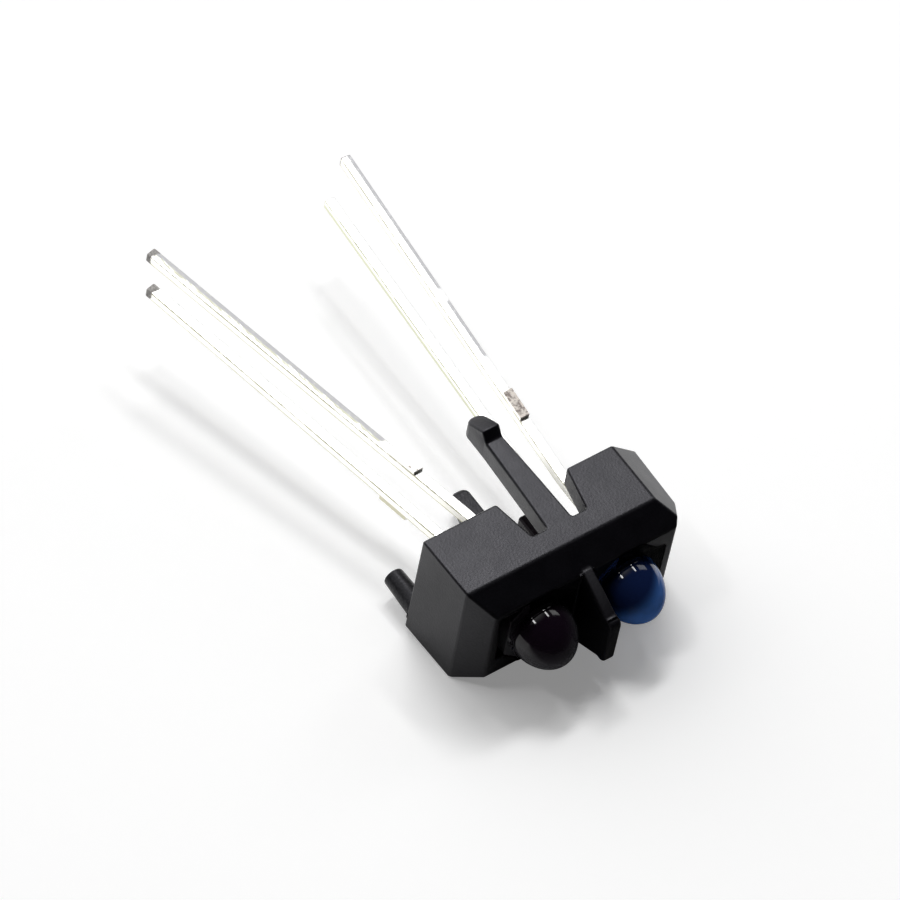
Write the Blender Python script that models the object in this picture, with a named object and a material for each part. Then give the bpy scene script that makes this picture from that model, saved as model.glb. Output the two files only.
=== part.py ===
"""Reflective optical sensor with long leads: an emitter and a detector side by side in a black moulding.

The board face of the moulding is the plane y = 0, its lenses look along -Y and its leads run along +Y.
The part lies on one long side: the hook of its lower clip and its lower front edge carry it, so every
piece hangs from one empty that is turned by the small angle which this gives. Lengths are in metres.
"""

import math

import bmesh
import bpy
from mathutils import Vector

MM = 0.001

# Moulded housing
LENGTH = 10.2 * MM
WIDTH = 5.8 * MM
SIDE_DEPTH = 2.87 * MM
RIM_DEPTH = 3.96 * MM
END_DRAFT = 0.09 * MM
SIDE_DRAFT = 0.04 * MM
RIM_INSET = 0.86 * MM
KEY_CORNER = 1.3 * MM
EDGE_RADIUS = 0.06 * MM

# Lens pockets: the cavity behind each window, and the ears beside its lens
LENS_PITCH = 4.14 * MM
CAVITY_DEPTH = 3.0 * MM
EAR_HALF_WIDTH = 1.08 * MM
CORNER_REACH = 1.95 * MM
CORNER_LOW_REACH = 1.7 * MM
CORNER_HEIGHT = 1.77 * MM

# Blade that keeps the emitter's light from the detector
BLADE_THICKNESS = 0.52 * MM
BLADE_DEPTH = 6.12 * MM
BLADE_TIP_HALF_WIDTH = 1.18 * MM
BLADE_ROOT_HALF_WIDTH = 2.16 * MM
BLADE_CORNER = 0.28 * MM

# Notch round each clip, wider at the board face
NOTCH_DEPTH = 1.9 * MM
NOTCH_HALF_LENGTH = 1.3 * MM
NOTCH_FLARE = 0.36 * MM
NOTCH_FLOOR = 1.9 * MM
NOTCH_CORNER = 0.22 * MM

# Mounting clips
CLIP_TIP = 3.87 * MM
CLIP_ROOT_WIDTH = 1.17 * MM
CLIP_TIP_WIDTH = 0.8 * MM
CLIP_NOSE = 0.63 * MM
HOOK_CATCH = 2.5 * MM
HOOK_RIDGE = 2.78 * MM
HOOK_RISE = 0.42 * MM
NOSE_DROP = 0.21 * MM
NOSE_RADIUS = 0.22 * MM
UPPER_CLIP_THICKNESS = 1.0 * MM
LOWER_CLIP_THICKNESS = 0.62 * MM

# Locating pin
PIN_RADIUS = 0.5 * MM
PIN_TIP_RADIUS = 0.43 * MM
PIN_LENGTH = 1.8 * MM
PIN_FROM_END = 0.6 * MM
PIN_FROM_SIDE = 0.7 * MM
PIN_TIP_EDGE = 0.08 * MM

# Epoxy bodies: a wide block at the back, a narrower front with cut corners, and the lens
BLOCK_HALF_LENGTH = 1.7 * MM
BLOCK_HALF_WIDTH = 1.9 * MM
FRONT_HALF_LENGTH = 1.34 * MM
FRONT_CORNER = 0.8 * MM
EPOXY_BACK = 2.05 * MM
EPOXY_FRONT = 3.9 * MM
LENS_RADIUS = 1.32 * MM
LENS_CENTRE = 4.6 * MM

# Leads
LEAD_SIZE = 0.44 * MM
LEAD_PITCH = 2.54 * MM
LEAD_LENGTH = 17.3 * MM
LEAD_BEND = 0.45 * MM
LEAD_BEND_REACH = 0.5 * MM
LEAD_TIP_CHAMFER = 0.1 * MM
POST_TOP = 3.3 * MM
TAB_START = 3.4 * MM
TAB_END = 4.75 * MM
TAB_RISE = 0.2 * MM

# Lead frame tops, chips and bond wires inside the epoxy
ANVIL_BACK = 2.75 * MM
ANVIL_OVERHANG = 0.35 * MM
FLAG_REACH = 0.4 * MM
CUP_RADIUS = 0.46 * MM
CUP_HEIGHT = 0.42 * MM
CUP_FLOOR_RADIUS = 0.26 * MM
CUP_RECESS = 0.26 * MM
PAD_HALF_SIZE = 0.46 * MM
PAD_THICKNESS = 0.3 * MM
EMITTER_CHIP = 0.3 * MM
DETECTOR_CHIP = 0.62 * MM
CHIP_HEIGHT = 0.16 * MM
WIRE_RADIUS = 0.025 * MM
WIRE_RISE = 0.22 * MM

# Clearances
SEAT_GAP = 0.02 * MM
POCKET_GAP = 0.05 * MM
EPOXY_GAP = 0.03 * MM
OVERLAP = 0.2 * MM

ROUND_STEPS = 48
ARC_STEPS = 8
WIRE_STEPS = 14
WIRE_SIDES = 8

# How far each lead's tip has been spread along X
DETECTOR_UPPER_SPREAD = -3.8 * MM
DETECTOR_LOWER_SPREAD = -3.52 * MM
EMITTER_UPPER_SPREAD = 1.31 * MM
EMITTER_LOWER_SPREAD = 0.9 * MM

REST_TILT = math.atan2(HOOK_RISE + SIDE_DRAFT, HOOK_RIDGE + SIDE_DEPTH)


def clear_scene():
    """Take away whatever the file holds when the script starts."""
    for old in list(bpy.data.objects):
        bpy.data.objects.remove(old, do_unlink=True)


def finish(name, colour, roughness, metallic=0.0, transmission=0.0):
    """A Principled material with the values that are given."""
    made = bpy.data.materials.new(name)
    made.use_nodes = True
    shader = made.node_tree.nodes["Principled BSDF"]
    shader.inputs["Base Color"].default_value = (*colour, 1.0)
    shader.inputs["Roughness"].default_value = roughness
    shader.inputs["Metallic"].default_value = metallic
    shader.inputs["Transmission Weight"].default_value = transmission
    made.diffuse_color = (*colour, 1.0)
    return made


def black_moulding(name):
    """Matte black thermoplastic."""
    return finish(name, (0.022, 0.022, 0.025), 0.55)


def blue_epoxy(name):
    """Clear epoxy dyed deep blue."""
    return finish(name, (0.02, 0.07, 0.32), 0.06, transmission=0.7)


def black_epoxy(name):
    """Glossy epoxy that looks black and passes only infrared."""
    return finish(name, (0.01, 0.01, 0.014), 0.06)


def tinned_steel(name):
    """Bright tin over steel."""
    return finish(name, (0.82, 0.82, 0.8), 0.22, metallic=1.0)


def chip_grey(name):
    """Dark grey semiconductor with a metal pad."""
    return finish(name, (0.16, 0.16, 0.18), 0.3, metallic=0.6)


def gold(name):
    """Fine gold wire."""
    return finish(name, (0.9, 0.66, 0.24), 0.2, metallic=1.0)


def add_mesh(name, shape):
    """Turn a bmesh into an object in the scene, with its faces pointing out."""
    bmesh.ops.recalc_face_normals(shape, faces=shape.faces)
    mesh = bpy.data.meshes.new(name)
    shape.to_mesh(mesh)
    shape.free()
    made = bpy.data.objects.new(name, mesh)
    bpy.context.scene.collection.objects.link(made)
    return made


def as_tool(tool):
    """Mark an object that only cuts or joins another."""
    tool.hide_render = True
    tool.display_type = "WIRE"
    return tool


def combine(target, tool, operation):
    """Add a Boolean to the target, with the tool kept as a hidden wire."""
    as_tool(tool)
    step = target.modifiers.new(f"{operation.lower()} {tool.name}", "BOOLEAN")
    step.operation = operation
    step.object = tool
    step.solver = "EXACT"


def skin_rings(shape, rings):
    """Join equal rings of points with quads and close both ends."""
    placed = [[shape.verts.new(point) for point in ring] for ring in rings]
    for low, high in zip(placed, placed[1:]):
        for i in range(len(low)):
            j = (i + 1) % len(low)
            shape.faces.new((low[i], low[j], high[j], high[i]))
    shape.faces.new(placed[0])
    shape.faces.new(placed[-1])


def loft(name, rings):
    """A closed solid through equal rings of points."""
    shape = bmesh.new()
    skin_rings(shape, rings)
    return add_mesh(name, shape)


def box(name, low, high):
    """A box between two corners."""
    (x0, y0, z0), (x1, y1, z1) = low, high
    corners = [(x0, z0), (x1, z0), (x1, z1), (x0, z1)]
    return loft(name, [[(x, y, z) for x, z in corners] for y in (y0, y1)])


def turned(name, centre, profile, steps=ROUND_STEPS):
    """A solid turned about a line along Y, through (radius, y) points."""
    cx, cz = centre
    angles = [2 * math.pi * i / steps for i in range(steps)]
    rings = []
    for radius, y in profile:
        rings.append([(cx + radius * math.cos(a), y, cz + radius * math.sin(a)) for a in angles])
    made = loft(name, rings)
    soften(made)
    return made


def soften(made, sharp_angle=35.0):
    """Shade round faces smooth and keep real edges sharp."""
    made.data.shade_smooth()
    made.data.set_sharp_from_angle(angle=math.radians(sharp_angle))


def arc(centre, radius, start, end, steps=ARC_STEPS):
    """Points on a circle arc, with the angles in degrees."""
    angles = [math.radians(start + (end - start) * i / steps) for i in range(steps + 1)]
    return [(centre[0] + radius * math.cos(a), centre[1] + radius * math.sin(a)) for a in angles]


def cut_cornered(half_length, half_width, corner, grown=0.0):
    """The outline of a rectangle with its corners cut at 45 degrees, grown evenly by a clearance."""
    x, z = half_length + grown, half_width + grown
    cut = corner + grown * (2 - math.sqrt(2))
    upper = [(x, z - cut), (x - cut, z), (cut - x, z), (-x, z - cut)]
    return upper + [(px, -pz) for px, pz in reversed(upper)]


def along_y(name, outline, centre, y0, y1):
    """Extrude an outline of (x, z) points along Y."""
    return loft(name, [[(centre[0] + x, y, centre[1] + z) for x, z in outline] for y in (y0, y1)])


def across_x(name, outline, half_width_at):
    """Extrude a side outline of (y, z) points across X, with the half width that each y has."""
    rings = [[(side * half_width_at(y), y, z) for y, z in outline] for side in (-1, 1)]
    return loft(name, rings)


def housing_shell():
    """The outer form: drafted walls, a chamfered front rim and one cut corner as a key."""
    sections = [
        (0.0, LENGTH / 2, WIDTH / 2),
        (-SIDE_DEPTH, LENGTH / 2 - END_DRAFT, WIDTH / 2 - SIDE_DRAFT),
        (-RIM_DEPTH, LENGTH / 2 - RIM_INSET, WIDTH / 2 - RIM_INSET),
    ]
    rings = [[(-x, y, -z), (x, y, -z), (x, y, z), (-x, y, z)] for y, x, z in sections]
    shape = bmesh.new()
    skin_rings(shape, rings)
    on_cut = Vector((LENGTH / 2 - KEY_CORNER, 0.0, WIDTH / 2))
    everything = list(shape.verts) + list(shape.edges) + list(shape.faces)
    cut = bmesh.ops.bisect_plane(
        shape, geom=everything, plane_co=on_cut, plane_no=(1.0, 0.0, 1.0), clear_outer=True
    )
    edges = [item for item in cut["geom_cut"] if isinstance(item, bmesh.types.BMEdge)]
    bmesh.ops.edgeloop_fill(shape, edges=edges)
    made = add_mesh("housing", shape)
    rounding = made.modifiers.new("rounded edges", "BEVEL")
    rounding.width = EDGE_RADIUS
    rounding.segments = 2
    rounding.limit_method = "ANGLE"
    rounding.angle_limit = math.radians(20.0)
    return made


def notch(side):
    """The space round a clip, on the upper side (1) or the lower side (-1)."""
    outside = WIDTH / 2 + OVERLAP
    floor = WIDTH / 2 - NOTCH_FLOOR
    slope = NOTCH_FLARE / NOTCH_DEPTH
    behind = NOTCH_HALF_LENGTH + NOTCH_FLARE + slope * OVERLAP
    corner = arc((NOTCH_HALF_LENGTH - NOTCH_CORNER, -NOTCH_DEPTH + NOTCH_CORNER), NOTCH_CORNER, 0, -90)
    half = [(behind, OVERLAP)] + corner
    outline = half + [(-x, y) for x, y in reversed(half)]
    return loft(f"notch {side}", [[(x, y, side * z) for x, y in outline] for z in (floor, outside)])


def clip_outline(thickness):
    """Side outline of the upper clip as (y, z), from its root round the nose and back over the hook."""
    top = WIDTH / 2
    under = top - thickness
    root = -NOTCH_DEPTH - OVERLAP
    nose_top = top - NOSE_DROP
    nose = arc((CLIP_TIP - NOSE_RADIUS, under + NOSE_RADIUS), NOSE_RADIUS, -90, 0)
    return [(root, under)] + nose + [
        (CLIP_TIP, nose_top),
        (HOOK_RIDGE, top + HOOK_RISE),
        (HOOK_CATCH, top),
        (0.0, top),
        (root, top - SIDE_DRAFT),
    ]


def clip_half_width(y):
    """Half the width of a clip: it narrows evenly from its root to the hook, and again at the nose."""
    along = min(max((y + NOTCH_DEPTH) / (HOOK_CATCH + NOTCH_DEPTH), 0.0), 1.0)
    width = CLIP_ROOT_WIDTH + (CLIP_TIP_WIDTH - CLIP_ROOT_WIDTH) * along
    if y > CLIP_TIP - NOSE_RADIUS:
        past = (y - CLIP_TIP + NOSE_RADIUS) / NOSE_RADIUS
        width += (CLIP_NOSE - CLIP_TIP_WIDTH) * past
    return width / 2


def clip(side, thickness):
    """One mounting clip, on the upper side (1) or the lower side (-1)."""
    outline = [(y, side * z) for y, z in clip_outline(thickness)]
    return across_x(f"clip {side}", outline, clip_half_width)


def blade():
    """The wall between the two lenses, from inside the web to past the lens tips."""
    slope = (BLADE_ROOT_HALF_WIDTH - BLADE_TIP_HALF_WIDTH) / (BLADE_DEPTH - RIM_DEPTH)
    lean = math.degrees(math.atan(slope))
    tangent = BLADE_CORNER * math.tan(math.radians(45 - lean / 2))
    centre = (-BLADE_DEPTH + BLADE_CORNER, -BLADE_TIP_HALF_WIDTH + tangent)
    corner = arc(centre, BLADE_CORNER, 180, 270 + lean, ARC_STEPS // 2)
    half = corner + [(-RIM_DEPTH, -BLADE_ROOT_HALF_WIDTH), (-CAVITY_DEPTH, -BLADE_ROOT_HALF_WIDTH)]
    outline = half + [(y, -z) for y, z in reversed(half)]
    return across_x("blade", outline, lambda y: BLADE_THICKNESS / 2)


def pin():
    """The locating pin in the corner of the board face, at the detector's end."""
    centre = (-LENGTH / 2 + PIN_FROM_END, -WIDTH / 2 + PIN_FROM_SIDE)
    profile = [
        (PIN_RADIUS, -OVERLAP),
        (PIN_RADIUS, 0.0),
        (PIN_TIP_RADIUS, PIN_LENGTH - PIN_TIP_EDGE),
        (PIN_TIP_RADIUS - PIN_TIP_EDGE, PIN_LENGTH),
    ]
    return turned("pin", centre, profile, ROUND_STEPS // 2)


def lens_pocket(name, x):
    """The cut for one lens pocket: a square cavity, then a window with an ear each side."""
    front = -RIM_DEPTH - OVERLAP
    half_length, half_width = BLOCK_HALF_LENGTH + POCKET_GAP, BLOCK_HALF_WIDTH + POCKET_GAP
    window = cut_cornered(FRONT_HALF_LENGTH, BLOCK_HALF_WIDTH, FRONT_CORNER, POCKET_GAP)
    cut = along_y(f"{name} window", window, (x, 0.0), front, -CAVITY_DEPTH + OVERLAP)
    low, high = (x - half_length, front, -EAR_HALF_WIDTH), (x + half_length, -NOTCH_DEPTH, EAR_HALF_WIDTH)
    combine(cut, box(f"{name} ears", low, high), "UNION")
    low, high = (x - half_length, -CAVITY_DEPTH, -half_width), (x + half_length, OVERLAP, half_width)
    combine(cut, box(f"{name} cavity", low, high), "UNION")
    return cut


def outer_corner(x):
    """The cut that squares the upper outer corner of the detector's window."""
    outline = [
        (-CORNER_LOW_REACH, -EAR_HALF_WIDTH),
        (0.0, -EAR_HALF_WIDTH),
        (0.0, CORNER_HEIGHT),
        (-CORNER_REACH, CORNER_HEIGHT),
    ]
    return along_y("outer corner", outline, (x, 0.0), -RIM_DEPTH - OVERLAP, -CAVITY_DEPTH + OVERLAP)


def housing():
    """The one moulding: shell, pockets, blade, clips and pin."""
    made = housing_shell()
    for side in (1, -1):
        combine(made, notch(side), "DIFFERENCE")
    combine(made, clip(1, UPPER_CLIP_THICKNESS), "UNION")
    combine(made, clip(-1, LOWER_CLIP_THICKNESS), "UNION")
    detector_x, emitter_x = -LENS_PITCH / 2, LENS_PITCH / 2
    combine(made, lens_pocket("detector", detector_x), "DIFFERENCE")
    combine(made, lens_pocket("emitter", emitter_x), "DIFFERENCE")
    combine(made, outer_corner(detector_x), "DIFFERENCE")
    combine(made, blade(), "UNION")
    combine(made, pin(), "UNION")
    made.data.materials.append(black_moulding("housing"))
    return made


def lens(name, x):
    """A round stub with a dome, starting inside the epoxy block."""
    dome = arc((0.0, 0.0), LENS_RADIUS, 0, 84, ARC_STEPS + 4)
    profile = [(LENS_RADIUS, -EPOXY_FRONT + OVERLAP)]
    profile += [(radius, -LENS_CENTRE - height) for radius, height in dome]
    return turned(f"{name} lens", (x, 0.0), profile)


def epoxy_body(name, x, material, hollows):
    """A block with a narrower front and a domed lens, hollowed round what is cast into it."""
    step = -CAVITY_DEPTH + POCKET_GAP
    low = (x - BLOCK_HALF_LENGTH, step, -BLOCK_HALF_WIDTH)
    made = box(name, low, (x + BLOCK_HALF_LENGTH, -EPOXY_BACK, BLOCK_HALF_WIDTH))
    outline = cut_cornered(FRONT_HALF_LENGTH, BLOCK_HALF_WIDTH, FRONT_CORNER)
    combine(made, along_y(f"{name} front", outline, (x, 0.0), -EPOXY_FRONT, step + OVERLAP), "UNION")
    combine(made, lens(name, x), "UNION")
    for hollow in hollows:
        combine(made, hollow, "DIFFERENCE")
    made.data.materials.append(material)
    soften(made)
    return made


def lead_lean(y, spread):
    """How far a lead stands off its straight line at y: nothing in the package, then a bend and a slope."""
    slope = spread / (LEAD_LENGTH - LEAD_BEND)
    past = y - LEAD_BEND
    if abs(past) < LEAD_BEND_REACH:
        return slope * (past + LEAD_BEND_REACH) ** 2 / (4 * LEAD_BEND_REACH)
    return slope * max(past, 0.0)


def lead_rings(x, z, spread):
    """Rings of a square lead from its top in the epoxy, past the stub of a cut tie bar, to its tip."""
    half = LEAD_SIZE / 2
    side = 1 if z > 0 else -1

    def ring(y, rise=0.0, shrink=0.0):
        centre, reach = x + lead_lean(y, spread), half - shrink
        inner, outer = z - side * reach, z + side * (reach + rise)
        left, right = centre - reach, centre + reach
        return [(left, y, inner), (right, y, inner), (right, y, outer), (left, y, outer)]

    steps = [LEAD_BEND + LEAD_BEND_REACH * share for share in (-1.0, -0.5, 0.0, 0.5, 1.0)]
    rings = [ring(-POST_TOP)] + [ring(y) for y in steps]
    rings += [ring(TAB_START), ring(TAB_START + SEAT_GAP, TAB_RISE)]
    rings += [ring(TAB_END - SEAT_GAP, TAB_RISE), ring(TAB_END)]
    rings += [ring(LEAD_LENGTH - LEAD_TIP_CHAMFER), ring(LEAD_LENGTH, shrink=LEAD_TIP_CHAMFER / 2)]
    return rings


def post_room(name, x, z):
    """The channel in the epoxy round a lead's straight part."""
    reach = LEAD_SIZE / 2 + EPOXY_GAP
    low = (x - reach, -POST_TOP - EPOXY_GAP, z - reach)
    high = (x + reach, -EPOXY_BACK + OVERLAP, z + reach)
    return box(name, low, high)


def grown_box(name, low, high):
    """A box with the epoxy clearance added on every side."""
    return box(name, [value - EPOXY_GAP for value in low], [value + EPOXY_GAP for value in high])


def anvil_corners(x, z):
    """Corners of the plate that brings a lead's top over the lens axis."""
    side = 1 if z > 0 else -1
    far, near = side * (abs(z) + LEAD_SIZE / 2), -side * ANVIL_OVERHANG
    low_z, high_z = min(far, near), max(far, near)
    half = LEAD_SIZE / 2
    return (x - half, -POST_TOP, low_z), (x + half, -ANVIL_BACK, high_z)


def flag_corners(x, z):
    """Corners of the wider top of the lead that takes the bond wire."""
    side = 1 if z > 0 else -1
    far, near = z + side * LEAD_SIZE / 2, z - side * (LEAD_SIZE / 2 + FLAG_REACH)
    half = LEAD_SIZE / 2
    return (x - half, -POST_TOP, min(far, near)), (x + half, -ANVIL_BACK, max(far, near))


def lead(name, x, z, spread, top):
    """One lead with the plate at its top."""
    made = loft(name, lead_rings(x, z, spread))
    combine(made, box(f"{name} top", *top), "UNION")
    made.data.materials.append(tinned_steel(name))
    return made


def wire_path(start, end):
    """Points (y, z) of a bond wire that rises from the chip and comes down on the other lead."""
    path = []
    for i in range(WIRE_STEPS + 1):
        t = i / WIRE_STEPS
        y = start[0] + (end[0] - start[0]) * t - WIRE_RISE * math.sin(math.pi * t)
        path.append((y, start[1] + (end[1] - start[1]) * t))
    return path


def wire(name, x, path, radius):
    """A round wire along a path in the plane of its chip and lead."""
    rings = []
    for i, (y, z) in enumerate(path):
        before, after = path[max(i - 1, 0)], path[min(i + 1, len(path) - 1)]
        along = Vector((0.0, after[0] - before[0], after[1] - before[1])).normalized()
        sideways, outward = Vector((1.0, 0.0, 0.0)), Vector((0.0, -along.z, along.y))
        angles = [2 * math.pi * k / WIRE_SIDES for k in range(WIRE_SIDES)]
        centre = Vector((x, y, z))
        spokes = [math.cos(a) * sideways + math.sin(a) * outward for a in angles]
        rings.append([centre + radius * spoke for spoke in spokes])
    made = loft(name, rings)
    soften(made)
    return made


def chip(name, x, seat_y, size):
    """A square chip that stands on its seat, with its face towards the lens."""
    half = size / 2
    back = seat_y - SEAT_GAP
    made = box(name, (x - half, back - CHIP_HEIGHT, -half), (x + half, back, half))
    made.data.materials.append(chip_grey(name))
    return made


def reflector_cup(name, x):
    """The round cup on the emitter's plate."""
    back, mouth = -POST_TOP + OVERLAP / 2, -POST_TOP - CUP_HEIGHT
    cup = turned(f"{name} cup", (x, 0.0), [(CUP_RADIUS, back), (CUP_RADIUS, mouth)], ROUND_STEPS // 2)
    flare = (CUP_RADIUS - CUP_FLOOR_RADIUS) * 0.7 / CUP_RECESS
    past = CUP_FLOOR_RADIUS + flare * (CUP_RECESS + OVERLAP)
    recess = [(CUP_FLOOR_RADIUS, mouth + CUP_RECESS), (past, mouth - OVERLAP)]
    combine(cup, turned(f"{name} recess", (x, 0.0), recess, ROUND_STEPS // 2), "DIFFERENCE")
    return cup


def bond(name, x, chip_face, lead_z):
    """A bond wire, and the room for it in the epoxy."""
    side = 1 if lead_z > 0 else -1
    start = (chip_face - SEAT_GAP - WIRE_RADIUS, 0.0)
    end = (-POST_TOP - SEAT_GAP - WIRE_RADIUS, lead_z - side * FLAG_REACH / 2)
    path = wire_path(start, end)
    made = wire(name, x, path, WIRE_RADIUS)
    made.data.materials.append(gold(name))
    return made, wire(f"{name} room", x, path, WIRE_RADIUS + EPOXY_GAP)


def emitter():
    """The blue infrared emitter: its chip sits in a reflector cup on the lower lead."""
    x, z = LENS_PITCH / 2, LEAD_PITCH / 2
    anvil, flag = anvil_corners(x, -z), flag_corners(x, z)
    cathode = lead("emitter_cathode_lead", x, -z, EMITTER_LOWER_SPREAD, anvil)
    combine(cathode, reflector_cup("emitter", x), "UNION")
    anode = lead("emitter_anode_lead", x, z, EMITTER_UPPER_SPREAD, flag)
    floor = -POST_TOP - CUP_HEIGHT + CUP_RECESS
    die = chip("emitter_chip", x, floor, EMITTER_CHIP)
    bond_wire, wire_room = bond("emitter_bond_wire", x, floor - SEAT_GAP - CHIP_HEIGHT, z)
    room, mouth = CUP_RADIUS + EPOXY_GAP, -POST_TOP - CUP_HEIGHT - EPOXY_GAP
    cup_room = [(room, -POST_TOP + OVERLAP), (room, mouth)]
    hollows = [
        post_room("emitter lower channel", x, -z),
        post_room("emitter upper channel", x, z),
        grown_box("emitter plate room", *anvil),
        grown_box("emitter flag room", *flag),
        turned("emitter cup room", (x, 0.0), cup_room, ROUND_STEPS // 2),
        wire_room,
    ]
    body = epoxy_body("emitter_body", x, blue_epoxy("emitter_body"), hollows)
    return [body, cathode, anode, die, bond_wire]


def detector():
    """The black phototransistor: its chip lies on a flat pad on the upper lead."""
    x, z = -LENS_PITCH / 2, LEAD_PITCH / 2
    anvil, flag = anvil_corners(x, z), flag_corners(x, -z)
    pad_face = -POST_TOP - PAD_THICKNESS
    pad_back = -POST_TOP + OVERLAP / 2
    pad = (x - PAD_HALF_SIZE, pad_face, -PAD_HALF_SIZE), (x + PAD_HALF_SIZE, pad_back, PAD_HALF_SIZE)
    collector = lead("detector_collector_lead", x, z, DETECTOR_UPPER_SPREAD, anvil)
    combine(collector, box("detector pad", *pad), "UNION")
    emitter_lead = lead("detector_emitter_lead", x, -z, DETECTOR_LOWER_SPREAD, flag)
    die = chip("detector_chip", x, pad_face, DETECTOR_CHIP)
    chip_face = pad_face - SEAT_GAP - CHIP_HEIGHT
    bond_wire, wire_room = bond("detector_bond_wire", x, chip_face, -z)
    half = DETECTOR_CHIP / 2
    chip_room = (x - half, chip_face, -half), (x + half, pad_face, half)
    hollows = [
        post_room("detector lower channel", x, -z),
        post_room("detector upper channel", x, z),
        grown_box("detector plate room", *anvil),
        grown_box("detector flag room", *flag),
        grown_box("detector pad room", *pad),
        grown_box("detector chip room", *chip_room),
        wire_room,
    ]
    body = epoxy_body("detector_body", x, black_epoxy("detector_body"), hollows)
    return [body, collector, emitter_lead, die, bond_wire]


def lay_down():
    """Hang every piece from one empty and turn it to the angle at which the part comes to rest."""
    frame = bpy.data.objects.new("rest_frame", None)
    bpy.context.scene.collection.objects.link(frame)
    for made in list(bpy.data.objects):
        if made is not frame:
            made.parent = frame
    frame.rotation_euler.x = REST_TILT


clear_scene()
housing()
emitter()
detector()
lay_down()
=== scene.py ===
"""Looks of the reflective optical sensor: rounded mouldings, domed epoxy, tinned leads, floor and light."""

import logging
import math
from collections.abc import Sequence
from dataclasses import dataclass, field
from enum import Enum
from functools import reduce

import bmesh
import bpy
from mathutils import Matrix, Vector


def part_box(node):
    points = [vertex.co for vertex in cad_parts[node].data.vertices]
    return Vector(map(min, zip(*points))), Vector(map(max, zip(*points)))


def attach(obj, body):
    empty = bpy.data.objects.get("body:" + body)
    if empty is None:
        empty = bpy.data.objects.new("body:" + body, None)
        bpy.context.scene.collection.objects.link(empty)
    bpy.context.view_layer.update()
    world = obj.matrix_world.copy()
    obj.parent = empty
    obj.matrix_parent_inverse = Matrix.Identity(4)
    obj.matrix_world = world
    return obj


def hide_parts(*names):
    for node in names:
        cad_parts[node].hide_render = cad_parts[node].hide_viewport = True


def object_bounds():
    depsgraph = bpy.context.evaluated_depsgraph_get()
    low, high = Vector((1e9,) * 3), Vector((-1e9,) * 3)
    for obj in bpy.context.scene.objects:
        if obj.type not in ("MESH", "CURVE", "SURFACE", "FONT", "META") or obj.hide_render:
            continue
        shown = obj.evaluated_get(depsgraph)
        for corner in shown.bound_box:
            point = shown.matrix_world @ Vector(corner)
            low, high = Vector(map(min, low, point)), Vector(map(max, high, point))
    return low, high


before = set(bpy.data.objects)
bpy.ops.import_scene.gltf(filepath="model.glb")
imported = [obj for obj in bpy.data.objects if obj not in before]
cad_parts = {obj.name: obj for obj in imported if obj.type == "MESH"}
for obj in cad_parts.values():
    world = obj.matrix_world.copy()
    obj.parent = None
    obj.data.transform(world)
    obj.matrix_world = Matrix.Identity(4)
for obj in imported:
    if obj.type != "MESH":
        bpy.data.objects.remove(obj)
SOLID_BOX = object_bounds()

MM = 0.001
BODY = "root"
log = logging.getLogger("sensor")

Point = tuple[float, float, float]
FlatPoint = tuple[float, float]
Span = tuple[float, float]
Colour = tuple[float, float, float, float]
Socket = bpy.types.NodeSocket
Inputs = dict[str | int, object]
Thing = bpy.types.Object

# Half the distance between the lens axes, and how finely meshes are made, with angles in degrees
LENS_X = 2.07 * MM
MERGE = 0.002 * MM
SHARP_ANGLE = 40.0
ROUNDED_ANGLE = 30.0
ROUNDING_FACES = 3
ROUND_STEPS = 40


class Side(Enum):
    """Which long side of the housing a feature is on, as the sign of Z."""

    UPPER = 1
    LOWER = -1


class Slot(Enum):
    """Names of the record's material slots. The epoxy bodies carry theirs, but nothing here gives a piece its
    slot.
    """

    HOUSING = "housing"
    BLUE_EPOXY = "blue_epoxy"
    BLACK_EPOXY = "black_epoxy"
    LEADS = "leads"


class Joining(Enum):
    """How solids are combined."""

    ADD = "UNION"
    CUT = "DIFFERENCE"


class LeadTop(Enum):
    """What the top of a lead carries inside the epoxy."""

    CUP = "cup"
    PAD = "pad"
    FLAG = "flag"


# How the part lies


@dataclass(frozen=True)
class Rest:
    """The part lies on one long side: the hook of its lower clip and its lower front edge carry it."""

    hook_rise: float = 0.46 * MM
    span: float = 5.65 * MM

    def turn(self) -> Matrix:
        """The turn from the moulding's own axes to the frame's."""
        return Matrix.Rotation(math.atan2(self.hook_rise, self.span), 4, "X")

    def place(self, point: Point) -> Vector:
        """A point or direction of the moulding, in the frame's axes."""
        return self.turn() @ Vector(point)

    def lay(self, piece: Thing) -> None:
        """Turn a piece's mesh, so that its object stays unturned."""
        piece.data.transform(self.turn())
        piece.data.update()


REST = Rest()


# Node trees


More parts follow.
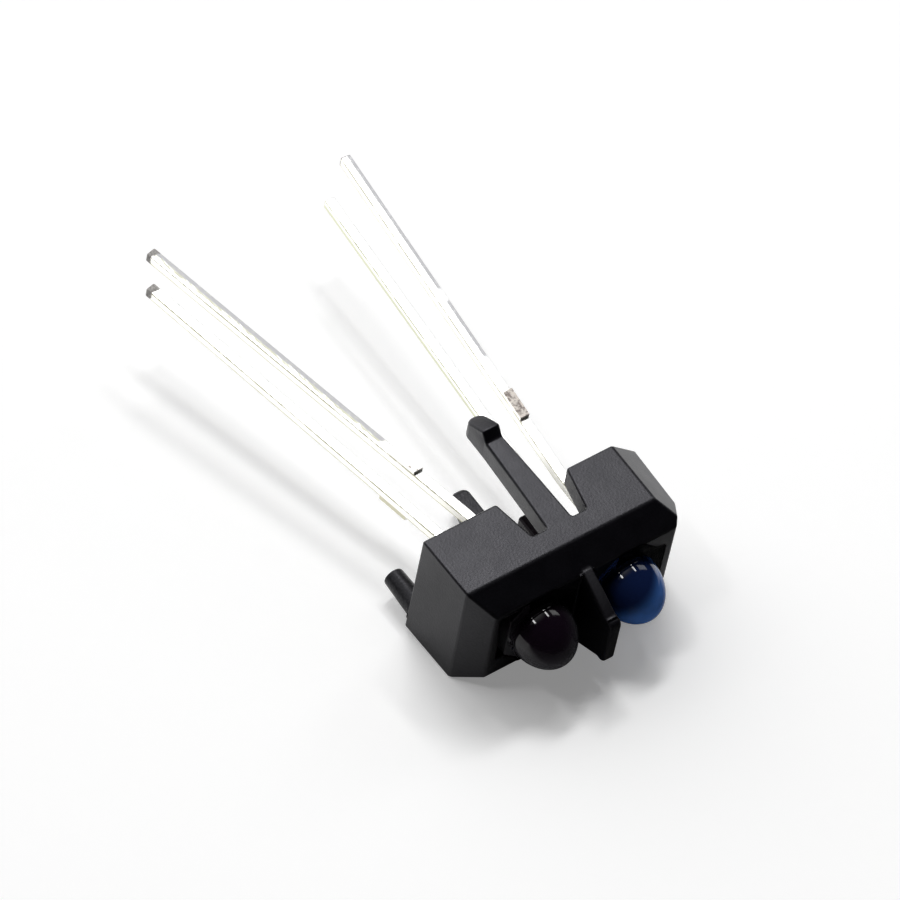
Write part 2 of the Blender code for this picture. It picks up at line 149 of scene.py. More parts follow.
class NodeNet:
    """A short way to fill a node tree. A value given to a node is a socket or a plain value."""

    def __init__(self, tree: bpy.types.NodeTree) -> None:
        """Hold the shader or geometry tree that the nodes go into."""
        self.tree = tree

    def add(self, kind: str, inputs: Inputs | None = None, **settings: object) -> bpy.types.Node:
        """Add one node.

        Args:
            kind: The node's type name.
            inputs: Values for its inputs, by name or number.
            settings: Values for the node's own properties.

        Returns:
            The new node.
        """
        node = self.tree.nodes.new(kind)
        for name, value in settings.items():
            setattr(node, name, value)
        self.fill(node, inputs or {})
        return node

    def fill(self, node: bpy.types.Node, inputs: Inputs) -> None:
        """Link or set a node's inputs.

        Args:
            node: The node.
            inputs: Values for its inputs, by name or number.
        """
        for key, value in inputs.items():
            if isinstance(value, Socket):
                self.tree.links.new(value, node.inputs[key])
            else:
                node.inputs[key].default_value = value

    def math(self, operation: str, first: object, second: object = 0.0, clamp: bool = False) -> Socket:
        """What a Math node makes of two values, kept between 0 and 1 where clamp is set."""
        inputs = {0: first, 1: second}
        return self.add("ShaderNodeMath", inputs, operation=operation, use_clamp=clamp).outputs[0]

    def product(self, *factors: object) -> Socket:
        """The product of two or more values."""
        return reduce(lambda first, second: self.math("MULTIPLY", first, second), factors)

    def highest(self, *values: object) -> Socket:
        """The highest of two or more values."""
        return reduce(lambda first, second: self.math("MAXIMUM", first, second), values)

    def jitter(self, value: object, noise: Socket, amount: float) -> Socket:
        """A value that a noise pattern moves to both sides, over an amount in all."""
        return self.math("ADD", value, self.product(self.math("SUBTRACT", noise, 0.5), amount))

    def remap(self, value: object, low: float, high: float, start: float = 0.0, end: float = 1.0) -> Socket:
        """A value between low and high, turned smoothly into one between start and end."""
        inputs = {0: value, 1: low, 2: high, 3: start, 4: end}
        return self.add("ShaderNodeMapRange", inputs, interpolation_type="SMOOTHSTEP").outputs[0]

    def uneven(self, noise: Socket, low: float, high: float) -> Socket:
        """A value that the middle of a noise pattern's range moves from low to high."""
        return self.remap(noise, 0.3, 0.7, low, high)

    def blend(self, share: object, first: object, second: object) -> Socket:
        """A mix of two colours, where share says how much of the second shows."""
        return self.add("ShaderNodeMix", {0: share, 6: first, 7: second}, data_type="RGBA").outputs[2]

    def noise(self, where: Socket, size: float, detail: float = 2.0, roughness: float = 0.5) -> Socket:
        """A noise pattern with cells of a size in metres, finer layers and the strength of those."""
        inputs = {"Vector": where, "Scale": 1 / size, "Detail": detail, "Roughness": roughness}
        return self.add("ShaderNodeTexNoise", inputs).outputs[0]

    def dot(self, where: Socket, direction: Sequence[float]) -> Socket:
        """How far a place lies along a direction."""
        inputs = {0: where, 1: direction}
        return self.add("ShaderNodeVectorMath", inputs, operation="DOT_PRODUCT").outputs["Value"]

    def seen(self) -> Socket:
        """1 for what the camera sees, straight or through the epoxy, and 0 for the rest."""
        rays = self.add("ShaderNodeLightPath").outputs
        return self.highest(rays["Is Camera Ray"], rays["Is Transmission Ray"])

    def bump(self, pattern: Socket, height: float, strength: float, under: Socket | None = None) -> Socket:
        """A normal that follows a pattern.

        Args:
            pattern: The pattern.
            height: The height of a full step, in metres.
            strength: How much of it shows.
            under: The normal of a bump that lies below this one.

        Returns:
            The socket of the normal.
        """
        inputs: Inputs = {"Height": pattern, "Distance": height, "Strength": strength}
        if under is not None:
            inputs["Normal"] = under
        return self.add("ShaderNodeBump", inputs).outputs[0]


def grey(value: float, warmth: float = 0.0) -> Colour:
    """A grey in linear light, where red gains and blue loses the share that warmth gives."""
    return (value * (1 + warmth), value, value * (1 - warmth), 1.0)


def darker(colour: Colour, share: float) -> Colour:
    """A colour at a share of its brightness."""
    return (*(share * part for part in colour[:3]), 1.0)


# Finishes


@dataclass(frozen=True)
class Finish:
    """A procedural material. Each kind of finish fills in its own nodes."""

    name: str

    def material(self) -> bpy.types.Material:
        """Make the material.

        Returns:
            The new material.
        """
        made = bpy.data.materials.new(self.name)
        made.use_nodes = True
        net = NodeNet(made.node_tree)
        where = net.add("ShaderNodeTexCoord").outputs["Object"]
        net.fill(made.node_tree.nodes["Principled BSDF"], self.paint(net, where))
        return made

    def paint(self, net: NodeNet, where: Socket) -> Inputs:
        """Make the nodes of the material.

        Args:
            net: The material's node tree.
            where: The socket of the object's coordinates.

        Returns:
            The values for the Principled shader's inputs.
        """
        raise NotImplementedError


@dataclass(frozen=True)
class MouldedPlastic(Finish):
    """Black thermoplastic with the fine texture that a spark-eroded mould leaves.

    The pits have a share of the grain's height, and a cloud of the tone is some grains wide.
    """

    base: Colour = (0.0019, 0.0016, 0.0030, 1.0)
    pale: Colour = (0.0034, 0.0030, 0.0048, 1.0)
    tone_span: Span = (0.34, 0.66)
    grain_share: float = 0.6
    roughness: float = 0.39
    grain_size: float = 0.085 * MM
    grain_height: float = 0.006 * MM
    pit_share: float = 0.7
    cloud_grains: float = 9.0
    gloss: float = 0.35
    gloss_tint: Colour = (0.93, 0.925, 1.0, 1.0)
    ior: float = 1.55

    def paint(self, net: NodeNet, where: Socket) -> Inputs:
        """Grain and pits, a cloudy tone and a slightly uneven gloss. See Finish.paint."""
        grain = net.noise(where, self.grain_size, detail=3.0, roughness=0.62)
        pits = net.add("ShaderNodeTexVoronoi", {"Vector": where, "Scale": 0.8 / self.grain_size}).outputs[0]
        cloud = net.noise(where, self.cloud_grains * self.grain_size, detail=4.0)
        clouded = net.product(cloud, 1 - self.grain_share)
        tone = net.math("ADD", net.product(grain, self.grain_share), clouded)
        fine = net.bump(grain, self.grain_height, 0.8)
        return {
            "Base Color": net.blend(net.remap(tone, *self.tone_span), self.base, self.pale),
            "Roughness": net.uneven(cloud, self.roughness - 0.015, self.roughness + 0.02),
            "Normal": net.bump(pits, self.grain_height * self.pit_share, 0.6, under=fine),
            "Specular IOR Level": self.gloss,
            "Specular Tint": self.gloss_tint,
            "IOR": self.ior,
        }


@dataclass(frozen=True)
class Epoxy(Finish):
    """Glossy cast epoxy. Its dome has painted light: a paler tone painted on the side towards which the lens
    would gather light.

    The reach says where the painted light starts and where it is full, from the centre of the dome.
    """

    centre: Point = (LENS_X, -4.2 * MM, 0.0)
    # Where the painted light lies: the direction from the dome's centre towards the paler side.
    towards: Point = (0.46, -0.31, -0.83)
    reach: Span = (-0.55 * MM, 0.1 * MM)
    front: float = -3.93 * MM
    gloss: float = 0.38

    def painted_light_share(self, net: NodeNet, where: Socket) -> Socket:
        """How much of the painted light a place shows, from 0 to 1."""
        offset = net.add("ShaderNodeVectorMath", {0: where, 1: REST.place(self.centre)}, operation="SUBTRACT")
        return net.remap(net.dot(offset.outputs[0], REST.place(self.towards)), *self.reach)

    def in_block(self, net: NodeNet, where: Socket, blur: float, most: float = 1.0) -> Socket:
        """0 on the lens and the most in the block behind its front, over a blur before it."""
        depth = net.dot(where, REST.place((0.0, 1.0, 0.0)))
        return net.remap(depth, self.front - blur, self.front, 0.0, most)


@dataclass(frozen=True)
class BlueEpoxy(Epoxy):
    """Epoxy dyed deep blue, with faint flow marks, painted light on the lower front of its dome and a painted
    glow in its block.
    """

    deep: Colour = (0.006, 0.014, 0.060, 1.0)
    # painted light: a paler blue for light that the lens gathers, and a brighter blue block for light that
    # comes through it from behind
    painted_light: Colour = (0.048, 0.145, 0.44, 1.0)
    block: Colour = (0.012, 0.028, 0.10, 1.0)

    def paint(self, net: NodeNet, where: Socket) -> Inputs:
        """A glossy skin over deep blue dye, with painted light that makes the dome paler to one side and a
        painted glow in the block. See Finish.paint.
        """
        flow = net.noise(where, 0.9 * MM)
        # Painted light: the dome is paler on its lower front side.
        lens = net.blend(self.painted_light_share(net, where), self.deep, self.painted_light)
        # Painted glow: the block behind the lens front is painted brighter than the dye.
        return {
            "Base Color": net.blend(self.in_block(net, where, 0.15 * MM), lens, self.block),
            "Roughness": net.uneven(flow, 0.04, 0.08),
            "Normal": net.bump(flow, 0.006 * MM, 0.4),
            "Transmission Weight": 0.1,
            "Specular IOR Level": self.gloss,
            "IOR": 1.52,
        }


@dataclass(frozen=True)
class BlackEpoxy(Epoxy):
    """Epoxy that looks black with a trace of purple, and passes only infrared. Its lower side has a painted
    reflection of the floor.
    """

    centre: Point = (-LENS_X, -4.2 * MM, 0.0)
    towards: Point = (0.29, 0.18, -0.94)
    reach: Span = (-1.15 * MM, -0.1 * MM)
    base: Colour = (0.0065, 0.0030, 0.0070, 1.0)
    # painted reflection: the floor's grey, mirrored in the lower side of the dome
    edge: Colour = (0.038, 0.037, 0.042, 1.0)
    block_roughness: float = 0.35

    def paint(self, net: NodeNet, where: Socket) -> Inputs:
        """A glossy skin over a faintly purple body, with a painted reflection of the floor on its lower side,
        and duller in the block. See Finish.paint.
        """
        flow = net.noise(where, 0.8 * MM)
        # Painted reflection: the floor's grey painted on the lower side, broken up by the flow marks.
        share = net.product(self.painted_light_share(net, where), net.remap(flow, 0.2, 0.6, 0.8, 1.0))
        dull = self.in_block(net, where, 0.1 * MM, self.block_roughness)
        return {
            "Base Color": net.blend(share, self.base, self.edge),
            "Roughness": net.math("ADD", net.uneven(flow, 0.05, 0.12), dull),
            "Normal": net.bump(flow, 0.005 * MM, 0.4),
            "Specular IOR Level": self.gloss,
            "IOR": 1.54,
        }


@dataclass(frozen=True)
class TinnedSteel(Finish):
    """Bright tin over steel strip, with a painted warm reflection and painted shade lines on its left side, a
    painted dark reflection in a duller, rougher band on its top, and a dark sheared tip.

    It reads the lead's "section" attribute: across and up run from -1 to 1 over the strip, and the
    third value is the distance from the tip in millimetres. The flank is the strip's left side, with its
    painted reflection and the painted shade lines along it, and the band of painted dark reflection and
    the streak lie on its top.
    """

    tin: Colour = (0.95, 0.95, 0.94, 1.0)
    # painted reflection: the warm tint of the left side, in blotches
    painted_flank_reflection: Colour = (0.95, 0.93, 0.82, 1.0)
    # painted shade: the yellowish dark lines along the left side's edges
    line: Colour = (0.46, 0.44, 0.29, 1.0)
    # painted reflection: the grey of dark surroundings mirrored in the top's rounded edge, in a band
    dull: Colour = (0.64, 0.64, 0.66, 1.0)
    streak: Colour = (0.80, 0.80, 0.64, 1.0)
    tip_dark: Colour = grey(0.20, 0.05)
    tip_light: Colour = grey(0.42, 0.04)
    roughness: float = 0.36
    tip_and_band_roughness: float = 0.62
    wander: float = 0.35
    flank_span: Span = (-0.80, -0.93)
    top_span: Span = (0.80, 0.93)
    high_line: Span = (0.62, 0.82)
    line_share: float = 0.6
    line_top: float = -0.5
    line_blur: float = 0.25
    band_from: float = 2.0
    band_end: float = 12.2
    band_gap: float = -1.0
    band_blur: float = 0.1
    gap_half: float = 0.3
    streak_share: float = 0.0
    cap: float = 0.40
    cap_blur: float = 0.08
    cap_ragged: float = 0.25

    def paint(self, net: NodeNet, where: Socket) -> Inputs:
        """Painted flank reflection, painted shade lines, painted dark band, streak and tip over fine draw
        lines. See Finish.paint.
        """
        section = net.add("ShaderNodeAttribute", attribute_name="section").outputs["Vector"]
        across, up, from_tip = net.add("ShaderNodeSeparateXYZ", {0: section}).outputs
        stretched = net.add("ShaderNodeMapping", {"Vector": where, "Scale": (1.0, 0.03, 1.0)}).outputs[0]
        drawn = net.noise(stretched, 0.03 * MM, detail=3.0)
        blotch = net.noise(where, 0.5 * MM, detail=4.0, roughness=0.6)
        torn = net.noise(where, 0.09 * MM, detail=3.0, roughness=0.65)

        # Painted reflection: the left side takes a warm tint, in blotches.
        flank = net.remap(across, *self.flank_span)
        colour = net.blend(flank, self.tin, net.blend(blotch, self.painted_flank_reflection, self.tin))
        # Painted shade: yellowish dark lines along the lower edge of the left side and where it meets the
        # top.
        low = net.remap(net.jitter(up, blotch, self.wander), self.line_top, self.line_top - self.line_blur)
        below_top = net.remap(up, 1.0, 1.1, 1.0, 0.0)
        high = net.product(net.remap(up, *self.high_line), net.remap(blotch, 0.36, 0.54), below_top)
        lines = net.product(net.highest(low, high), flank, self.line_share)
        colour = net.blend(lines, colour, self.line)

        # Painted reflection: a duller, rougher grey band along the right part of the top, with a gap and an
        # end, stands in for dark surroundings mirrored in the rounded edge.
        top = net.remap(up, *self.top_span)
        start, blur = self.band_from, self.band_blur
        inner = net.remap(net.jitter(across, blotch, self.wander), start - blur, start + blur)
        off_gap = net.math("ABSOLUTE", net.math("SUBTRACT", from_tip, self.band_gap))
        unbroken = net.remap(off_gap, self.gap_half - blur, self.gap_half + blur)
        stop = net.remap(from_tip, self.band_end - 3 * blur, self.band_end, 1.0, 0.0)
        band = net.product(top, inner, unbroken, stop, net.remap(torn, 0.3, 0.5, 0.45, 1.0))
        middle = net.remap(across, -0.55, -0.35)
        streak = net.product(middle, top, net.remap(drawn, 0.30, 0.50), stop, self.streak_share)
        colour = net.blend(band, net.blend(streak, colour, self.streak), self.dull)

        cap = net.remap(net.jitter(from_tip, torn, self.cap_ragged), self.cap, self.cap - self.cap_blur)
        sheared = net.blend(net.remap(torn, 0.35, 0.65), self.tip_dark, self.tip_light)
        # Where the metal gives way: the sheared tip, the streak and the painted band.
        tip_streak_and_painted_band = net.highest(band, cap, streak)
        return {
            "Base Color": net.blend(cap, colour, sheared),
            "Metallic": net.math("SUBTRACT", 1.0, tip_streak_and_painted_band, clamp=True),
            "Roughness": net.remap(tip_streak_and_painted_band, 0.0, 1.0, self.roughness, self.tip_and_band_roughness),
            "Normal": net.bump(drawn, 0.0012 * MM, 0.5),
        }


@dataclass(frozen=True)
class ShearedSteel(Finish):
    """Bare broken metal where a tie bar was cut: mottled grey and brown."""

    light: Colour = (0.78, 0.72, 0.66, 1.0)
    dark: Colour = (0.24, 0.20, 0.18, 1.0)
    tone_span: Span = (0.36, 0.58)
    metallic: float = 0.15

    def paint(self, net: NodeNet, where: Socket) -> Inputs:
        """Mottled tone and torn grain. See Finish.paint."""
        torn = net.noise(where, 0.16 * MM, detail=4.0, roughness=0.65)
        return {
            "Base Color": net.blend(net.remap(torn, *self.tone_span), self.dark, self.light),
            "Metallic": self.metallic,
            "Roughness": net.uneven(torn, 0.5, 0.7),
            "Normal": net.bump(torn, 0.03 * MM, 0.9),
        }


@dataclass(frozen=True)
class ChipFace(Finish):
    """Grey semiconductor with a lighter bond pad in the middle."""

    body: Colour = (0.10, 0.10, 0.125, 1.0)
    pad: Colour = (0.72, 0.60, 0.36, 1.0)
    centre: Point = (0.0, 0.0, 0.0)
    pad_radius: float = 0.06 * MM

    def paint(self, net: NodeNet, where: Socket) -> Inputs:
        """A round pad on a faintly streaked body. See Finish.paint."""
        reach = net.add("ShaderNodeVectorMath", {0: where, 1: self.centre}, operation="DISTANCE")
        on_pad = net.remap(reach.outputs["Value"], self.pad_radius, self.pad_radius * 1.15, 1.0, 0.0)
        streak = net.noise(where, 0.02 * MM)
        body = net.blend(streak, self.body, darker(self.body, 0.7))
        return {
            "Base Color": net.blend(on_pad, body, self.pad),
            "Metallic": 0.6,
            "Roughness": net.uneven(streak, 0.25, 0.4),
            "Normal": net.bump(streak, 0.001 * MM, 0.4),
        }


@dataclass(frozen=True)
class GoldWire(Finish):
    """Drawn gold wire."""

    base: Colour = (0.90, 0.66, 0.24, 1.0)

    def paint(self, net: NodeNet, where: Socket) -> Inputs:
        """Gold with a faint drawn grain. See Finish.paint."""
        drawn = net.noise(where, 0.015 * MM)
        return {
            "Base Color": net.blend(drawn, self.base, darker(self.base, 0.85)),
            "Metallic": 1.0,
            "Roughness": net.uneven(drawn, 0.16, 0.28),
            "Normal": net.bump(drawn, 0.0008 * MM, 0.4),
        }


# Meshes


def place(name: str, data: bpy.types.ID) -> Thing:
    """Put a new object into the scene.

    Args:
        name: Its name.
        data: Its mesh, light or camera.

    Returns:
        The object.
    """
    made = bpy.data.objects.new(name, data)
    bpy.context.scene.collection.objects.link(made)
    return made


def store(shape: bmesh.types.BMesh, made: Thing) -> None:
    """Write a bmesh into an object, with its faces pointing out.

    Args:
        shape: The bmesh, which is freed.
        made: The object.
    """
    bmesh.ops.recalc_face_normals(shape, faces=shape.faces)
    shape.to_mesh(made.data)
    shape.free()


def solid_from_rings(rings: Sequence[Sequence[Point]]) -> Thing:
    """A closed solid through equal rings of points.

    Args:
        rings: The rings, each with the same number of points.

    Returns:
        The new object.
    """
    shape = bmesh.new()
    placed = [[shape.verts.new(point) for point in ring] for ring in rings]
    for low, high in zip(placed, placed[1:]):
        for i, vert in enumerate(low):
            j = (i + 1) % len(low)
            shape.faces.new((vert, low[j], high[j], high[i]))
    shape.faces.new(placed[0])
    shape.faces.new(placed[-1])
    made = place("solid", bpy.data.meshes.new("solid"))
    store(shape, made)
    return made


def extruded(outline: Sequence[FlatPoint], x: float, start: float, end: float) -> Thing:
    """An outline of (x, z) points, moved along X and extruded along Y from start to end."""
    return solid_from_rings([[(x + px, y, pz) for px, pz in outline] for y in (start, end)])


def box(low: Point, high: Point) -> Thing:
    """A box between its lowest and its highest corner."""
    corners = [(low[0], low[2]), (high[0], low[2]), (high[0], high[2]), (low[0], high[2])]
    return extruded(corners, 0.0, low[1], high[1])


def turned(centre: FlatPoint, profile: Sequence[FlatPoint], steps: int = ROUND_STEPS) -> Thing:
    """A solid turned about a line along Y.

    Args:
        centre: Where the line is, as (x, z).
        profile: Points as (radius, y) from one end to the other.
        steps: How many points go round.

    Returns:
        The new object.
    """
    x, z = centre
    angles = [2 * math.pi * i / steps for i in range(steps)]
    spokes = [(math.cos(angle), math.sin(angle)) for angle in angles]
    return solid_from_rings([[(x + out * px, y, z + out * pz) for px, pz in spokes] for out, y in profile])


def arc(centre: FlatPoint, radius: float, start: float, end: float, steps: int) -> list[FlatPoint]:
    """Points on a circle from a start to an end angle, in degrees, that divide the arc into equal steps."""
    angles = [math.radians(start + (end - start) * i / steps) for i in range(steps + 1)]
    return [(centre[0] + radius * math.cos(a), centre[1] + radius * math.sin(a)) for a in angles]


def window_outline(half_x: float, half_z: float, cut: float) -> list[FlatPoint]:
    """A rectangle about the origin with its four corners cut off."""
    upper = [(half_x, half_z - cut), (half_x - cut, half_z), (cut - half_x, half_z), (-half_x, half_z - cut)]
    return upper + [(x, -z) for x, z in reversed(upper)]


def bake_modifiers(made: Thing) -> None:
    """Turn what an object's modifiers make into its own plain mesh.

    Args:
        made: The object.
    """
    graph = bpy.context.evaluated_depsgraph_get()
    shown = made.evaluated_get(graph)
    mesh = bpy.data.meshes.new_from_object(shown, preserve_all_data_layers=True, depsgraph=graph)
    made.modifiers.clear()
    made.data = mesh


def combine(target: Thing, tools: Sequence[Thing], joining: Joining) -> None:
    """Cut or join solids, leaving one plain mesh. Faces keep the materials of the solid they come from.

    Args:
        target: The object that keeps the result.
        tools: The solids that are used up.
        joining: Whether they are added or cut out.
    """
    for tool in tools:
        step = target.modifiers.new("step", "BOOLEAN")
        step.operation = joining.value
        step.object = tool
        step.solver = "EXACT"
        step.material_mode = "TRANSFER"
    bake_modifiers(target)
    for tool in tools:
        bpy.data.objects.remove(tool, do_unlink=True)


def clean(made: Thing, flat_angle: float) -> None:
    """Merge doubles and join flat faces, so that only real edges are left.

    Args:
        made: The object.
        flat_angle: Faces that meet at less than this many degrees are joined.
    """
    shape = bmesh.new()
    shape.from_mesh(made.data)
    bmesh.ops.remove_doubles(shape, verts=shape.verts, dist=MERGE)
    bmesh.ops.dissolve_degenerate(shape, edges=shape.edges, dist=MERGE)
    limits = {"angle_limit": math.radians(flat_angle), "delimit": {"MATERIAL"}}
    bmesh.ops.dissolve_limit(shape, verts=shape.verts, edges=shape.edges, **limits)
    store(shape, made)


def round_edges(made: Thing, width: float) -> None:
    """Round an object's sharper edges and shade it smooth across them.

    Args:
        made: The object.
        width: How far each rounding reaches, in metres.
    """
    rounding = made.modifiers.new("rounded edges", "BEVEL")
    rounding.width = width
    rounding.segments = ROUNDING_FACES
    rounding.limit_method = "ANGLE"
    rounding.angle_limit = math.radians(ROUNDED_ANGLE)
    rounding.use_clamp_overlap = False
    rounding.miter_outer = "MITER_ARC"
    made.data.shade_smooth()
    weigh = made.modifiers.new("flat faces stay flat", "WEIGHTED_NORMAL")
    weigh.weight = 100
    weigh.keep_sharp = True
    bake_modifiers(made)


def shade(made: Thing) -> None:
    """Shade an object smooth and keep its sharper edges sharp."""
    made.data.shade_smooth()
    made.data.set_sharp_from_angle(angle=math.radians(SHARP_ANGLE))


def give(made: Thing, *finishes: Finish) -> None:
    """Put finishes into an object's slots, in place of what is there.

    Args:
        made: The object.
        finishes: One finish for each slot.
    """
    made.data.materials.clear()
    for finish in finishes:
        made.data.materials.append(finish.material())


def hand_over(piece: Thing, name: str, node: str) -> None:
    """Give a finished piece to the frame in place of its plain solid.

    Args:
        piece: The object, still in the moulding's own axes.
        name: The name that it gets.
        node: The node that it stands for.
    """
    piece.name = piece.data.name = name
    REST.lay(piece)
    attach(piece, BODY)
    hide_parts(node)
    log.info("%s stands for %s with %d faces", piece.name, node, len(piece.data.polygons))


# Housing


@dataclass
class Housing:
    """The black moulding: shell, notches, clips, lens pockets, blade and locating pin."""

    length: float = 10.2 * MM
    width: float = 5.8 * MM
    side_depth: float = 2.87 * MM
    rim_depth: float = 3.96 * MM
    end_draft: float = 0.09 * MM
    side_draft: float = 0.04 * MM
    rim_inset: float = 0.86 * MM
    key_corner: float = 1.3 * MM
    edge: float = 0.1 * MM
    cavity_depth: float = 3.0 * MM
    seat_back: float = 2.0 * MM
    opening_half_width: float = 1.85 * MM
    block_half: FlatPoint = (1.75 * MM, 1.95 * MM)
    window_half: FlatPoint = (1.39 * MM, 1.95 * MM)
    window_corner: float = 0.83 * MM
    ear_half_width: float = 1.08 * MM
    square_corner: FlatPoint = (1.95 * MM, 1.77 * MM)
    square_foot: float = 1.7 * MM
    blade_thickness: float = 0.52 * MM
    blade_depth: float = 6.119 * MM
    blade_tip: float = 1.18 * MM
    blade_root: float = 2.16 * MM
    blade_corner: float = 0.28 * MM
    notch_depth: float = 1.9 * MM
    notch_half: float = 1.3 * MM
    notch_flare: float = 0.36 * MM
    notch_corner: float = 0.12 * MM
    clip_tip: float = 3.87 * MM
    clip_root_width: float = 1.17 * MM
    clip_tip_width: float = 0.8 * MM
    hook_catch: float = 2.5 * MM
    hook_ridge: float = 2.78 * MM
    hook_rise: float = 0.42 * MM
    nose_drop: float = 0.21 * MM
    nose_radius: float = 0.36 * MM
    nose_under: float = 0.24 * MM
    clip_thickness: dict[Side, float] = field(
        default_factory=lambda: {Side.UPPER: 1.0 * MM, Side.LOWER: 0.62 * MM}
    )
    pin_radius: float = 0.5 * MM
    pin_tip_radius: float = 0.43 * MM
    pin_edge: float = 0.1 * MM
    pin_length: float = 1.8 * MM
    pin_at: FlatPoint = (-4.5 * MM, -2.2 * MM)
    overlap: float = 0.2 * MM
    pocket_reach: FlatPoint = (4.0 * MM, 2.0 * MM)
    finish_border: float = 0.05 * MM
    finish: MouldedPlastic = MouldedPlastic("black_moulding")
    smooth_finish: MouldedPlastic = MouldedPlastic(
        "black_moulding_smooth", base=(0.006, 0.006, 0.007, 1.0), pale=(0.020, 0.020, 0.022, 1.0),
        roughness=0.32, grain_height=0.012 * MM, gloss=0.14
    )
    # Painted shade: a duller, maroon copy of the moulding for the pocket walls.
    pocket_shade_finish: MouldedPlastic = MouldedPlastic(
        "black_moulding_pocket_shade", base=(0.0040, 0.0012, 0.0030, 1.0), pale=(0.0052, 0.0018, 0.0038, 1.0),
        gloss=0.12
    )

    def shell(self) -> Thing:
        """The outer form with drafted walls, a chamfered rim and the cut corner.

        Returns:
            The shell.
        """
        half_length, half_width = self.length / 2, self.width / 2
        sections = [
            (0.0, half_length, half_width),
            (-self.side_depth, half_length - self.end_draft, half_width - self.side_draft),
            (-self.rim_depth, half_length - self.rim_inset, half_width - self.rim_inset),
        ]
        made = solid_from_rings([[(-x, y, -z), (x, y, -z), (x, y, z), (-x, y, z)] for y, x, z in sections])
        shape = bmesh.new()
        shape.from_mesh(made.data)
        everything = [*shape.verts, *shape.edges, *shape.faces]
        cut = {"plane_co": (half_length - self.key_corner, 0.0, half_width), "plane_no": (1.0, 0.0, 1.0)}
        found = bmesh.ops.bisect_plane(shape, geom=everything, clear_outer=True, **cut)["geom_cut"]
        bmesh.ops.edgeloop_fill(shape, edges=[item for item in found if isinstance(item, bmesh.types.BMEdge)])
        store(shape, made)
        return made

    def notch(self, side: Side) -> Thing:
        """The space round a clip.

        Args:
            side: The long side that it opens to.

        Returns:
            The cutter.
        """
        slope = self.notch_flare / self.notch_depth
        behind = self.notch_half + self.notch_flare + slope * self.overlap
        centre = (self.notch_half - self.notch_corner, -self.notch_depth + self.notch_corner)
        half = [(behind, self.overlap)] + arc(centre, self.notch_corner, 0, -90, 6)
        outline = half + [(-x, y) for x, y in reversed(half)]
        levels = (self.width / 2 - self.notch_depth, self.width / 2 + self.overlap)
        return solid_from_rings([[(x, y, side.value * z) for x, y in outline] for z in levels])

    def nose_inset(self, y: float, radius: float) -> float:
        """How far a rounding of the clips' noses draws in at a place along the clip."""
        into = max(y - self.clip_tip + radius, 0.0) / radius
        return radius * (1 - math.sqrt(max(1 - into ** 2, 0.0)))

    def clip_half_width(self, y: float) -> float:
        """Half the width of a clip, which narrows to the hook and is rounded at the nose.

        Args:
            y: The place along the clip.

        Returns:
            Half the width there.
        """
        along = min((y + self.notch_depth) / (self.hook_catch + self.notch_depth), 1.0)
        width = self.clip_root_width + (self.clip_tip_width - self.clip_root_width) * along
        return width / 2 - self.nose_inset(y, self.nose_radius)

    def slot_round_clip(self, side: Side) -> Thing:
        """The notch without the room that the clip's root takes, so that the root keeps the shell's own top.

        Args:
            side: The long side that it is on.

        Returns:
            The cutter.
        """
        under = self.width / 2 - self.clip_thickness[side]
        above = self.width / 2 + 2 * self.overlap
        front = -self.notch_depth - self.overlap
        outline = [(front, under), (0.0, under), (0.0, above), (front, above)]
        root = [[(end * self.clip_half_width(y), y, side.value * z) for y, z in outline] for end in (-1, 1)]
        cutter = self.notch(side)
        combine(cutter, [solid_from_rings(root)], Joining.CUT)
        return cutter

    def clip_top(self, y: float) -> float:
        """How high the outer face of a clip is: flat, then the catch, then the ramp of the nose.

        Args:
            y: The place along the clip.

        Returns:
            The height over the clip's own flat face.
        """
        if y <= self.hook_catch:
            return 0.0
        if y <= self.hook_ridge:
            return self.hook_rise * (y - self.hook_catch) / (self.hook_ridge - self.hook_catch)
        share = (y - self.hook_ridge) / (self.clip_tip - self.hook_ridge)
        return self.hook_rise - (self.hook_rise + self.nose_drop) * share

    def clip(self, side: Side) -> Thing:
        """One mounting clip, from its foot on the board face to its rounded nose.

        Args:
            side: The long side that it is on.

        Returns:
            The clip.
        """
        top = self.width / 2
        under = top - self.clip_thickness[side]
        nose_start = self.clip_tip - self.nose_radius
        stops = [0.0, self.hook_catch, self.hook_ridge]
        stops += [nose_start + self.nose_radius * math.sin(math.radians(turn)) for turn in range(0, 91, 10)]
        rings = []
        for y in stops:
            half = self.clip_half_width(y)
            low = side.value * (under + self.nose_inset(y, self.nose_under))
            high = side.value * (top + self.clip_top(y))
            rings.append([(-half, y, low), (half, y, low), (half, y, high), (-half, y, high)])
        return solid_from_rings(rings)

    def blade(self) -> Thing:
        """The wall between the two lenses.

        Returns:
            The blade.
        """
        slope = (self.blade_root - self.blade_tip) / (self.blade_depth - self.rim_depth)
        lean = math.degrees(math.atan(slope))
        tangent = self.blade_corner * math.tan(math.radians(45 - lean / 2))
        centre = (-self.blade_depth + self.blade_corner, -self.blade_tip + tangent)
        corner = arc(centre, self.blade_corner, 180, 270 + lean, 6)
        half = corner + [(-self.rim_depth, -self.blade_root), (-self.cavity_depth, -self.blade_root)]
        outline = half + [(y, -z) for y, z in reversed(half)]
        half_x = self.blade_thickness / 2
        return solid_from_rings([[(x, y, z) for y, z in outline] for x in (-half_x, half_x)])

    def pin(self) -> Thing:
        """The locating pin, with its rounded end.

        Returns:
            The pin.
        """
        edge = self.pin_edge
        end = arc((self.pin_tip_radius - edge, self.pin_length - edge), edge, 0, 80, 4)
        return turned(self.pin_at, [(self.pin_radius, -self.overlap), (self.pin_radius, 0.0)] + end)

